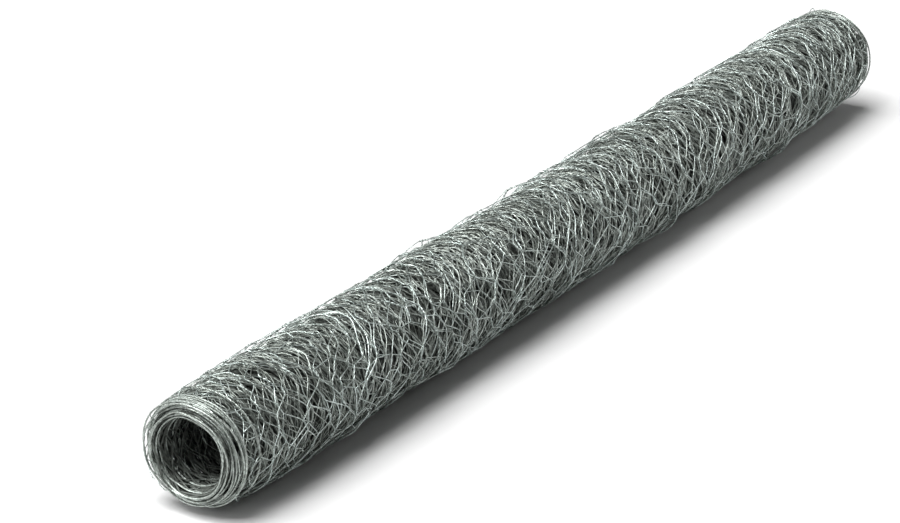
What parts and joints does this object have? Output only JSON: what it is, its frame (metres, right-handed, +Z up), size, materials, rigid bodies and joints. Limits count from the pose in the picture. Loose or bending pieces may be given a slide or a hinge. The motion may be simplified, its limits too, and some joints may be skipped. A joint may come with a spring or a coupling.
{
  "type": "roll of wire netting",
  "caption": "Long slim roll of galvanised hexagonal wire netting lying on its side, with an open bore and its wound turns showing at both ends.",
  "frame": {"origin": "on the floor under the middle of the roll's length and under its axis", "axes": "+X along the roll's axis, away from the end that shows its open bore, +Z up"},
  "size_m": [1, 0.094, 0.094],
  "materials": {
    "galvanised_wire": "hot-dip galvanised, dull grey with a slight green cast and bright spots on the outermost wires"
  },
  "bodies": {
    "root": {"netting_roll": "galvanised_wire"}
  },
  "joints": []
}
